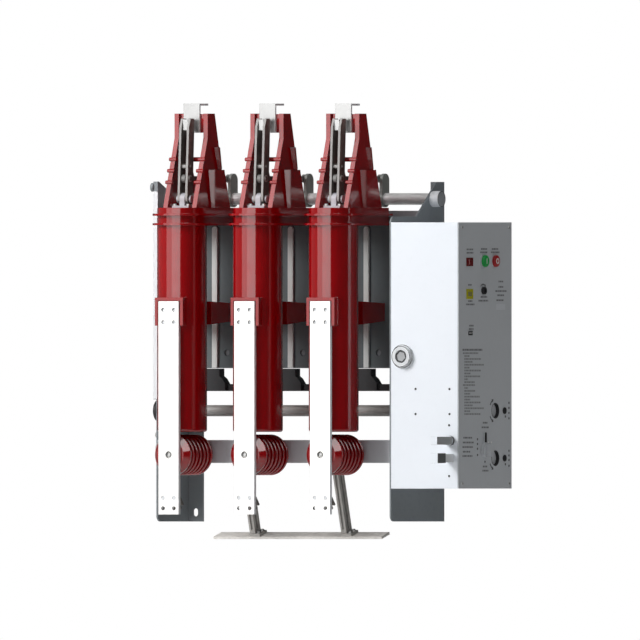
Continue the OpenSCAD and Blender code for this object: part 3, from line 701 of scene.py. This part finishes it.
class BREAKER_OT_frame_bolts(Step, bpy.types.Operator):
    """Adds the bolts of the frame, the poles, the guards and the terminals"""
    bl_idname = "breaker.frame_bolts"
    bl_label = "Frame bolts"

    def make(self, context):
        s = sizes()
        plate, sheet, rail_pitch = 0.004, 0.003, 0.012
        (left, panel_front, _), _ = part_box("back_panel")
        behind = panel_front + sheet - POLE_Y
        rows = ((0.05, POLE_TOP - 0.040), (0.032, POLE_TOP - 0.250))
        spots = [(x, behind, z) for half, z in rows for x in (-half, half)]
        bolts("pole_bolts", at_poles(*spots), BACK, s.frame_bolt)
        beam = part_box("lower_beam")[0][1] + plate - POLE_Y
        bolts("insulator_bolts", at_poles((0, beam, middle("post_insulator_1").z)), BACK, s.large_bolt)
        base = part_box("pivot_brackets")[0][1] - POLE_Y
        corners = [(x, base + y, POLE_TOP + 0.005) for x in (-0.0185, 0.0185) for y in (0.006, 0.044)]
        bolts("bracket_bolts", at_poles(*corners), UP, s.small_bolt)
        feet = [(x, y, POLE_TOP + 0.006) for x in (-0.022, 0.022) for y in (0.066, 0.130)]
        bolts("guard_bolts", at_poles(*feet), UP, s.small_bolt * 1.25)
        bridge = [(x, 0.072, POLE_TOP + 0.203) for x in (-0.014, 0.014)]
        bolts("terminal_bolts", at_poles(*bridge), BACK, s.small_bolt * 1.25)
        rail, cap = middle("rear_rail"), middle("drive_shaft_cap")
        ends = [(POLE_Y + 0.140, 0.040), (POLE_Y + 0.168, -0.016)]
        ends += [(rail.y, rail.z + dz) for dz in (-rail_pitch, rail_pitch)]
        bolts("side_plate_bolts", [(left - plate, y, z) for y, z in ends], LEFT, s.frame_bolt)
        cap.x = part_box("drive_shaft_cap")[0][0]
        bolts("cap_bolt", [cap], LEFT, s.frame_bolt)


class BREAKER_OT_earth_bolts(Step, bpy.types.Operator):
    """Adds the bolts that hold the earthing bar to its arms, and painted shade in the arms' grooves"""
    bl_idname = "breaker.earth_bolts"
    bl_label = "Earthing bolts"

    def make(self, context):
        joint = next(j for j in frame["record"]["behaviour"]["joints"] if j["name"] == "earth_turn")
        pivot, bar = Vector(joint["pos_m"]), middle("earth_bar")
        arm = Vector((0, bar.y - pivot.y, bar.z - pivot.z)).normalized()
        across = Vector((0, arm.z, -arm.y))
        bar_reach, start, end, skin = 0.207, 0.026, 0.197, 0.0004
        foot = Vector((0, pivot.y, pivot.z)) + arm * bar_reach
        spots = [foot + Vector((x, 0, 0)) + across * y for x in (-0.112, 0.141) for y in (-0.009, 0.009)]
        bolts("earth_bar_bolts", spots, -arm, sizes().small_bolt, "earth_switch")
        axes = Matrix((Vector((1, 0, 0)), across, arm)).transposed().to_4x4()
        strips = (((0, 0.0115 + skin / 2), (0.0049, skin)), ((0.005 + skin / 2, 0), (skin, 0.0092)))

        # Dark strips down the arms' grooves: painted shade
        def grooves(bm):
            for x in (-0.1265, 0.1265):
                for (side, front), (wide, deep) in strips:
                    centre = Vector((x + side, pivot.y, pivot.z)) + across * front + arm * ((start + end) / 2)
                    size = Matrix.Diagonal((wide, deep, end - start, 1.0))
                    bmesh.ops.create_cube(bm, size=1.0, matrix=Matrix.Translation(centre) @ axes @ size)

        solid("arm_grooves", grooves, "plated_steel", body="earth_switch", paint="groove_paint")


class BREAKER_OT_panel_screws(Step, bpy.types.Operator):
    """Adds the screws of the control panel and of the box"""
    bl_idname = "breaker.panel_screws"
    bl_label = "Panel screws"

    def make(self, context):
        s = sizes()
        edge = 0.012
        panel = [(PANEL_FACE, y, z) for y in (BOX_FRONT + 1.5 * edge, BOX_BACK - edge)
                 for z in (BOX_TOP - edge, BOX_FOOT + edge)]
        screws("panel_screws", panel, RIGHT, s.screw, "plated_steel")
        front = [(0.423, 0.150), (0.517, 0.150), (0.423, 0.090), (0.517, 0.090), (0.516, 0.063),
                 (0.516, -0.059)]
        screws("box_screws", [(x, BOX_FRONT, z) for x, z in front], FRONT, s.box_screw, "black_plastic")


class BREAKER_OT_shaft_fittings(Step, bpy.types.Operator):
    """Adds the end caps of the shaft bearings with painted shade rings at their rims, the drive socket's face
    and its painted shade rings, and the clips of the pull pins
    """
    bl_idname = "breaker.shaft_fittings"
    bl_label = "Shaft fittings"

    def make(self, context):
        shaft, lip = middle("shaft_bearings"), 0.0012
        (_, _, foot), (outer, _, top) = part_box("shaft_bearings")
        boss = (top - foot) / 2
        ends = [((side * outer, shaft.y, shaft.z), (side, 0, 0)) for side in (-1, 1)]
        cap = disc_profile(boss - lip, 0.0, 0.001, 0.0008, -0.0004)
        lathed("bearing_caps", [(cap, *end) for end in ends], paint="end_paint")
        # Dark rings at the rims of the bearing caps: painted shade
        line = ring_profile(boss - lip, boss, 0.0, 0.0008, 0.0002)
        lathed("bearing_outlines", [(line, *end) for end in ends], paint="outline")
        low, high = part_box("drive_socket")
        cup = middle("drive_socket")
        flange = (high[2] - low[2]) / 2

        def ahead(y, *profile):
            return profile, (cup.x, y, cup.z), FRONT

        # Dark rings at the drive socket's flange, on its face and round its hexagon: painted shade of the
        # rims and the recess
        lathed("socket_rings", [
            ahead(high[1] - 0.004, *ring_profile(flange - lip, flange, 0.0, 0.0003, 0.0001)),
            ahead(low[1], *ring_profile(0.0238, 0.025, 0.0, 0.0003, 0.0001)),
            (*ahead(low[1] + 0.001, *ring_profile(0.0125, 0.0158, -0.0008, 0.0001, 0.0001)), 6),
        ], paint="outline")
        face = ahead(low[1] + 0.002, (0.0155, 0.0), (0.0199, 0.0), (0.0199, 0.002), (0.0155, 0.002))
        lathed("socket_face", [face], paint="trim_paint")
        clip = ring_profile(0.0051, 0.0085, 0.0137, 0.0151, 0.0003)
        pins = at_poles((0, 0.014, middle("pull_rods").z))
        lathed("pull_pin_clips", [(clip, pin, side, 24) for pin in pins for side in (LEFT, RIGHT)],
               body="isolator_blades", paint="dull_steel")


class BREAKER_OT_guard_ramps(Step, bpy.types.Operator):
    """Adds the slanted fronts of the steps on the guards' sides, a painted highlight on the blades' front
    faces, and painted light on the right sides of the busbars and top terminals
    """
    bl_idname = "breaker.guard_ramps"
    bl_label = "Guard ramps and bright edges"

    def make(self, context):
        wall, slant = 0.046, 0.42
        # Each step's (height, distance behind the pole's axis, how far it stands out) at foot and top
        steps = (((0.0, 0.064, 0.0085), (0.091, 0.053, 0.015)),
                 ((0.093, 0.095, 0.0085), (0.145, 0.078, 0.0105)))

        def ramps(bm):
            for x in POLE_X:
                for side in (-1, 1):
                    for step in steps:
                        rings = [[(x + side * wall, POLE_Y + y - slant * out, POLE_TOP + z),
                                  (x + side * (wall + out), POLE_Y + y, POLE_TOP + z),
                                  (x + side * wall, POLE_Y + y, POLE_TOP + z)] for z, y, out in step]
                        prism(bm, *rings)

        solid("guard_ramps", ramps, "epoxy")
        for i in POLES:
            # Painted highlight on the blades' front faces
            edge_skin("blade_edges_%d" % i, "blade_pair_%d" % i, FRONT, "isolator_blades", "blade_edge")
            # Pale coats on the right sides of the top terminals and busbars: painted light over their metal
            for node in ("top_terminal_%d" % i, "busbar_%d" % i):
                edge_skin(node + "_edge", node, RIGHT, "frame", "trim_paint")


class BREAKER_OT_trims(Step, bpy.types.Operator):
    """Adds a painted highlight on the left plate's flange, painted light on the back panel's upper edge and
    on the pins' front faces, and what shows in the holes
    """
    bl_idname = "breaker.trims"
    bl_label = "Trims and inserts"

    def make(self, context):
        s = sizes()
        skin = s.print_skin
        low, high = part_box("back_panel")
        flange, upstand = POLE_Y + 0.127, high[1] - 0.003
        # A pale strip on the left plate's flange: painted highlight of its lit front edge
        strip = (low[0] - 0.012, flange - skin, 0.126), (low[0], flange, 0.624)
        solid("left_flange_trim", lambda bm: slab(bm, *strip), "frame_steel", paint="trim_paint")
        # A lighter strip along the back panel's upper edge: painted light where its top is lit
        strip = (low[0], upstand - skin, high[2] - 0.015), (high[0], upstand, high[2])
        solid("panel_edge_trim", lambda bm: slab(bm, *strip), "frame_steel", paint="edge_paint")
        foot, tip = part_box("front_pins")
        pin_x = (foot[0] + tip[0]) / 2

        # White plates on the pins' front faces and on the upper pin's flange face: painted light on the lit
        # fronts of the dark pins
        def ends(bm):
            slab(bm, (pin_x - 0.0088, foot[1] - 0.0004, tip[2] - 0.0212),
                 (pin_x + 0.0088, foot[1], tip[2] - 0.0028))
            slab(bm, (pin_x - 0.0098, foot[1] + 0.0006, foot[2] + 0.0002),
                 (pin_x + 0.0098, foot[1] + 0.001, foot[2] + 0.0238))
            turned(bm, [(PINHOLE, 0.0), (0.0119, 0.0), (0.0119, skin), (PINHOLE, skin)],
                   (pin_x, tip[1] - 0.007, tip[2] - 0.012), FRONT, 32)

        solid("pin_faces", ends, "box_paint")
        (_, _, bar_foot), (_, _, bar_top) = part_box("busbar_1")
        pitch, depth = 0.015, BAR_FRONT - POLE_Y
        inserts = []
        for heights, sunk in (((bar_top - 0.0205, bar_top - 0.0505), 0.0032), ((bar_foot + 0.040,), 0.0006)):
            disc = disc_profile(0.0048, sunk + 0.001, sunk, 0.0004, 0.0004)
            holes = at_poles(*[(x, depth, z) for x in (-pitch, pitch) for z in heights])
            inserts += [(disc, hole, BACK, 24) for hole in holes]
        lathed("busbar_inserts", inserts, paint="trim_paint")
        noses = at_poles((0, depth + 0.009, middle("post_insulator_1").z))
        bolts("insulator_nose_bolts", noses, FRONT, s.small_bolt * 1.15, height=0.6)
        cups = at_poles((0.031, low[1] - POLE_Y, low[2] + 0.037))
        floor = disc_profile(0.0069, 0.0046, 0.0036, 0.0004, 0.0004)
        lathed("panel_cup_floors", [(floor, cup, BACK, 28) for cup in cups], "frame_steel")


# Marks on the control panel: rows of print as plain bars, in millimetres behind the front edge and in height

WORD_LENGTHS = (7.0, 4.0, 9.5, 5.5, 11.0, 3.5, 8.0)
GUIDE_TOP, GUIDE_PITCH, GUIDE_INDENT, GUIDE_TITLES = 236, 6.96, 28, {0: 21, 11: 21}
GUIDE_ENDS = (97, 55, 107, 67, 121, 55, 107, 57, 105, 45, 77, 79, 45, 79, 59, 103, 59, 105, 67, 121, 55, 105)
CAPTIONS = (
    (39, 71, 485), (39, 71, 477), (108, 137, 486), (104, 140, 478), (160, 190, 486), (156, 196, 478),
    (46, 66, 400), (46, 66, 361), (36, 76, 353), (106, 137, 371), (96, 142, 362),
    (192, 216, 408), (192, 216, 395), (177, 233, 385), (187, 219, 375), (182, 219, 363),
    (51, 72, 302), (50, 72, 294), (117, 139, 69), (111, 147, 58),
    (23, 65, 33), (21, 73, 21.6), (19, 69, 10.6), (21, 59, -0.5), (19, 69, -10.8),
    (117, 137, -36), (115, 143, -46),
)
DOTS = ((91, 29.5), (91, 18), (91, 6.5), (91, -8.4), (242, 116.6), (242, 104.6), (242, 92.6), (242, 79.7),
        (242, 1.7), (242, -9.4), (242, -20.4), (242, -34.3), (225, 84), (225, -30.5), (127, -24.5))


def panel_spot(across, height, out=0.0):
    """Point on the control panel, from millimetres behind its front edge and in height."""
    return Vector((PANEL_FACE + out, BOX_FRONT + across / 1000, height / 1000))


def words(start, end, height):
    """A row of print split into plain bars of uneven length."""
    k = int(abs(height) * 3 + end)
    bars = []
    while end - start > 2.0:
        size = min(WORD_LENGTHS[k % len(WORD_LENGTHS)], end - start)
        bars.append((start, start + size, height))
        start, k = start + size + 1.7, k + 1
    return bars


def print_bars(name, bars, tall, paint, body="frame", out=0.0):
    """Printed bars (from, to, height) of one height on the panel's plane or out of it."""
    skin = sizes().print_skin
    spots = [(panel_spot((a + b) / 2, z, out + skin / 2), (skin, (b - a) / 1000, tall)) for a, b, z in bars]
    return repeated(name, print_bar_tree(), spots, body, {"Material": finishes()[paint]},
                    "size")


def print_dots(name, spots, across, paint):
    """Printed dots at (across, height) spots of the panel."""
    points = [panel_spot(*spot) for spot in spots]
    values = {"Skin": sizes().print_skin, "Material": finishes()[paint], "Diameter": across}
    return repeated(name, print_dot_tree(), facing(points, RIGHT), "frame", values)


def flat_plate(bm, outline, out, thick):
    """A flat shape of (across, height) points on the panel's plane."""
    prism(bm, *[[panel_spot(a, z, level) for a, z in outline] for level in (out, out + thick)])


def arc_arrow(bm, centre, radius, wide, start, end, thick):
    """A curved arrow about a point, from one angle to another in degrees, with its head at the end."""
    def at(r, angle):
        a = math.radians(angle)
        return centre[0] + r * math.cos(a), centre[1] + r * math.sin(a)

    angles = [start + (end - start) * k / 12 for k in range(13)]
    tip = end + math.copysign(math.degrees(2.2 * wide / radius), end - start)
    half, barb = wide / 2, 1.5 * wide
    tail = [at(radius + half, a) for a in angles] + [at(radius - half, a) for a in reversed(angles)]
    for outline in (tail, [at(radius + barb, end), at(radius, tip), at(radius - barb, end)]):
        flat_plate(bm, outline, 0.0, thick)


class BREAKER_OT_panel_marks(Step, bpy.types.Operator):
    """Prints the control panel with plain rows, dots and arrows, and lines its sockets"""
    bl_idname = "breaker.panel_marks"
    bl_label = "Panel marks"

    def make(self, context):
        s = sizes()
        guide = [bar for k, end in enumerate(GUIDE_ENDS)
                 for bar in words(GUIDE_TITLES.get(k, GUIDE_INDENT), end, GUIDE_TOP - GUIDE_PITCH * k)]
        captions = [bar for row in CAPTIONS for bar in words(*row)]
        print_bars("panel_print", captions, s.print_height, "caption_print")
        print_bars("guide_print", guide, s.print_height, "soft_print")
        print_bars("guide_heading", words(19, 117, 244), s.print_height * 1.2, "caption_print")
        print_bars("plain_label", [(181, 224, 347)], 0.014, "label_print")
        print_dots("panel_dots", DOTS, 0.0058, "dark_print")
        # Two white dots: painted glints
        print_dots("panel_light_dots", [(143, 22), (158, 22)], 0.005, "light_print")
        pitch, across = 0.057, 177
        heights = [(middle("operating_sockets").z + dz) * 1000 for dz in (-pitch, pitch)]

        def arrows(bm):
            arc_arrow(bm, (118, 386), 15.5, 2.4, 140, 55, s.print_skin)
            for height in heights:
                for turn in ((152, 124), (208, 236)):
                    arc_arrow(bm, (across, height), 28.5, 3.4, *turn, s.print_skin)

        solid("turning_arrows", arrows, "black_plastic", paint="dark_print")
        floor = disc_profile(0.0172, 0.0, 0.0008, 0.0004, -0.0003)
        floors = [(floor, panel_spot(across, height, -0.009), RIGHT) for height in heights]
        lathed("socket_floors", floors, "panel_paint")


class BREAKER_OT_button_marks(Step, bpy.types.Operator):
    """Marks the buttons, the windows, the counter and the selector"""
    bl_idname = "breaker.button_marks"
    bl_label = "Button marks"

    def make(self, context):
        s = sizes()

        def across(node):
            return (middle(node).y - BOX_FRONT) * 1000

        for node, slot in (("close_button", "green_button"), ("open_button", "red_button")):
            low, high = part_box(node)
            radius = (high[2] - low[2]) / 2
            dome = [(PINHOLE, 0.0), (radius, 0.0), (radius - 0.0012, 0.0012), (radius * 0.6, 0.0019),
                    (PINHOLE, 0.0021)]
            place = (high[0], middle(node).y, middle(node).z)
            lathed(node + "_cap", [(dome, place, RIGHT)], slot, body=node, smooth=True)
        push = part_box("close_button")[1][0] + 0.0019 - PANEL_FACE
        height = middle("close_button").z * 1000
        line = across("close_button")
        bar = (line - 1.6, line + 1.6, height)
        print_bars("close_mark", [bar], 0.013, "light_print", "close_button", push)
        ring = ring_profile(0.0042, 0.0072, 0.0, 0.0006, 0.0001)
        place = panel_spot(across("open_button"), height, push - 0.0003)
        lathed("open_mark", [(ring, place, RIGHT, 36)], "red_button", body="open_button", paint="light_print")
        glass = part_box("indicator_windows")[1][0] - PANEL_FACE
        print_bars("window_mark", [(47, 50, 455)], 0.012, "pink_print", out=glass)
        coils = [(44 + 4.6 * k, 46.6 + 4.6 * k, 378) for k in range(4)]
        print_bars("spring_mark", coils, 0.011, "dark_print", out=glass)
        digits = bpy.data.curves.new("counter_digits", "FONT")
        digits.body, digits.size, digits.extrude = "00127", 0.0062, s.print_skin / 2
        digits.align_x = digits.align_y = "CENTER"
        shown = linked("counter_text", digits)
        mesh = bpy.data.meshes.new_from_object(shown.evaluated_get(context.evaluated_depsgraph_get()))
        bpy.data.objects.remove(shown)
        mesh.transform(Matrix.Translation(panel_spot(56, BOX_TOP * 1000 - 266, glass)) @
                       Matrix(((0, 0, 1, 0), (1, 0, 0, 0), (0, 1, 0, 0), (0, 0, 0, 1))))
        mesh.materials.clear()
        mesh.materials.append(finishes()["light_print"])
        counter = linked("counter_digits", mesh)
        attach(counter, "frame")
        line, top = across("selector_lever"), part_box("selector_lever")[1][2] * 1000
        foot, half, tip = top - 24, 4.4, 2.4

        def pointer(bm):
            flat_plate(bm, [(line - half, foot), (line + half, foot), (line + half, top - 2),
                            (line + tip, top), (line - tip, top), (line - half, top - 2)], 0.005, 0.0008)

        solid("selector_pointer", pointer, "black_plastic", body="selector")


# Stage

AIM = Vector((0.129, -0.2055, 0.3156))
VIEW_AZIMUTH, VIEW_DISTANCE, VIEW_WIDTH = 30.0, 4.0, 1.536


def towards(azimuth, elevation=0.0):
    """Direction from the object, azimuth from straight in front and positive to the right, in degrees."""
    a, e = math.radians(azimuth), math.radians(elevation)
    return Vector((math.sin(a) * math.cos(e), -math.cos(a) * math.cos(e), math.sin(e)))


def lamp(name, azimuth, elevation, distance, width, height, level):
    """Soft area lamp that lights a face turned to it to that level, and doesn't show in gloss."""
    data = bpy.data.lights.new(name, "AREA")
    data.shape = "RECTANGLE"
    data.size, data.size_y = width, height
    data.energy = level * math.pi ** 2 * distance ** 2
    item = linked(name, data)
    item.location = AIM + towards(azimuth, elevation) * distance
    item.rotation_euler = (AIM - item.location).to_track_quat("-Z", "Y").to_euler()
    item.visible_glossy = False


def glowing(name, strength):
    return Finish(name, **{"Base Color": (0, 0, 0), "Specular IOR Level": 0.0, "Emission Color": (1, 1, 1),
                           "Emission Strength": strength}).material


def card(name, azimuth, distance, width, low, high, strength, seen=False):
    """Upright glowing card that faces the object, and that the camera itself may see."""
    foot = Vector((AIM.x, AIM.y, 0)) + towards(azimuth) * distance
    along = Vector(UP).cross(towards(azimuth)) * (width / 2)
    corners = [foot + side * along + Vector((0, 0, z)) for side, z in
               ((-1, low), (1, low), (1, high), (-1, high))]
    mesh = bpy.data.meshes.new(name)
    mesh.from_pydata(corners, [], [(0, 1, 2, 3)])
    mesh.materials.append(glowing(name, strength))
    item = linked(name, mesh)
    item.visible_diffuse = item.visible_shadow = False
    item.visible_camera = seen


class BREAKER_OT_stage(Step, bpy.types.Operator):
    """Sets the floor, the backdrop, the soft lights and the camera"""
    bl_idname = "breaker.stage"
    bl_label = "Stage"

    def make(self, context):
        scene = context.scene
        scene.view_settings.view_transform = "Standard"
        scene.world = scene.world or bpy.data.worlds.new("studio")
        scene.world.use_nodes = True
        sky = scene.world.node_tree.nodes["Background"].inputs
        sky["Color"].default_value, sky["Strength"].default_value = (0.95, 0.98, 1.0, 1.0), 0.035
        floor = bpy.data.meshes.new("floor")
        reach, height = 9.0, -0.75
        corners = [(x * reach, y * reach, height) for x, y in ((-1, -1), (1, -1), (1, 1), (-1, 1))]
        floor.from_pydata(corners, [], [(0, 1, 2, 3)])
        floor.materials.append(powder_coat("studio_floor", (0.72, 0.72, 0.715), 0.7, 0.01))
        linked("floor", floor)
        card("backdrop", 210.0, 6.0, 1.8, -0.46, 1.2, 1.0, True)
        card("front_softbox", -3.8, 4.08, 3.03, -0.74, 11.0, 2.25)
        card("upper_wing", -36.0, 4.2, 2.0, 0.62, 11.0, 2.25)
        card("lower_wing", -36.0, 4.2, 2.0, -0.74, 0.62, 1.3)
        card("high_card", 42.0, 4.2, 3.0, 1.25, 11.0, 3.6)
        card("left_card", -85.0, 3.5, 4.4, -0.74, 2.5, 0.17)
        card("side_strip", 104.0, 4.0, 0.16, -0.4, 1.6, 2.5)
        lamp("key", -36.0, 28.0, 5.0, 2.6, 2.6, 1.04)
        lamp("overhead", 10.0, 80.0, 4.0, 3.5, 3.5, 0.36)
        lamp("rear_fill", 185.0, 30.0, 5.0, 3.0, 3.0, 0.30)
        lamp("right_fill", 95.0, 20.0, 5.0, 3.0, 3.0, 0.09)
        data = bpy.data.cameras.new("camera")
        data.type, data.ortho_scale = "ORTHO", VIEW_WIDTH
        camera = linked("camera", data)
        camera.location = AIM + towards(VIEW_AZIMUTH) * VIEW_DISTANCE
        camera.rotation_euler = (math.radians(90.0), 0.0, math.radians(VIEW_AZIMUTH))
        scene.camera = camera


# Sidebar and running order

OPERATORS = (
    BREAKER_OT_finish_solids,
    BREAKER_OT_frame_bolts,
    BREAKER_OT_earth_bolts,
    BREAKER_OT_panel_screws,
    BREAKER_OT_panel_marks,
    BREAKER_OT_button_marks,
    BREAKER_OT_shaft_fittings,
    BREAKER_OT_guard_ramps,
    BREAKER_OT_trims,
    BREAKER_OT_stage,
)


class BREAKER_PT_sidebar(bpy.types.Panel):
    """Sizes, colours and steps of the breaker"""
    bl_idname = "BREAKER_PT_sidebar"
    bl_label = "Vacuum circuit breaker"
    bl_space_type = "VIEW_3D"
    bl_region_type = "UI"
    bl_category = "Breaker"

    def draw(self, context):
        for group in (context.scene.breaker_sizes, context.scene.breaker_colours):
            column = self.layout.column()
            for name in group.__annotations__:
                column.prop(group, name)
        for step in OPERATORS:
            self.layout.operator(step.bl_idname)


CLASSES = (BreakerSizes, BreakerColours, *OPERATORS, BREAKER_PT_sidebar)


def register():
    for item in CLASSES:
        bpy.utils.register_class(item)
    bpy.types.Scene.breaker_sizes = bpy.props.PointerProperty(type=BreakerSizes)
    bpy.types.Scene.breaker_colours = bpy.props.PointerProperty(type=BreakerColours)


def unregister():
    del bpy.types.Scene.breaker_colours
    del bpy.types.Scene.breaker_sizes
    for item in reversed(CLASSES):
        bpy.utils.unregister_class(item)


def main():
    register()
    for step in OPERATORS:
        group, name = step.bl_idname.split(".")
        getattr(getattr(bpy.ops, group), name)()


if __name__ == "__main__":
    main()
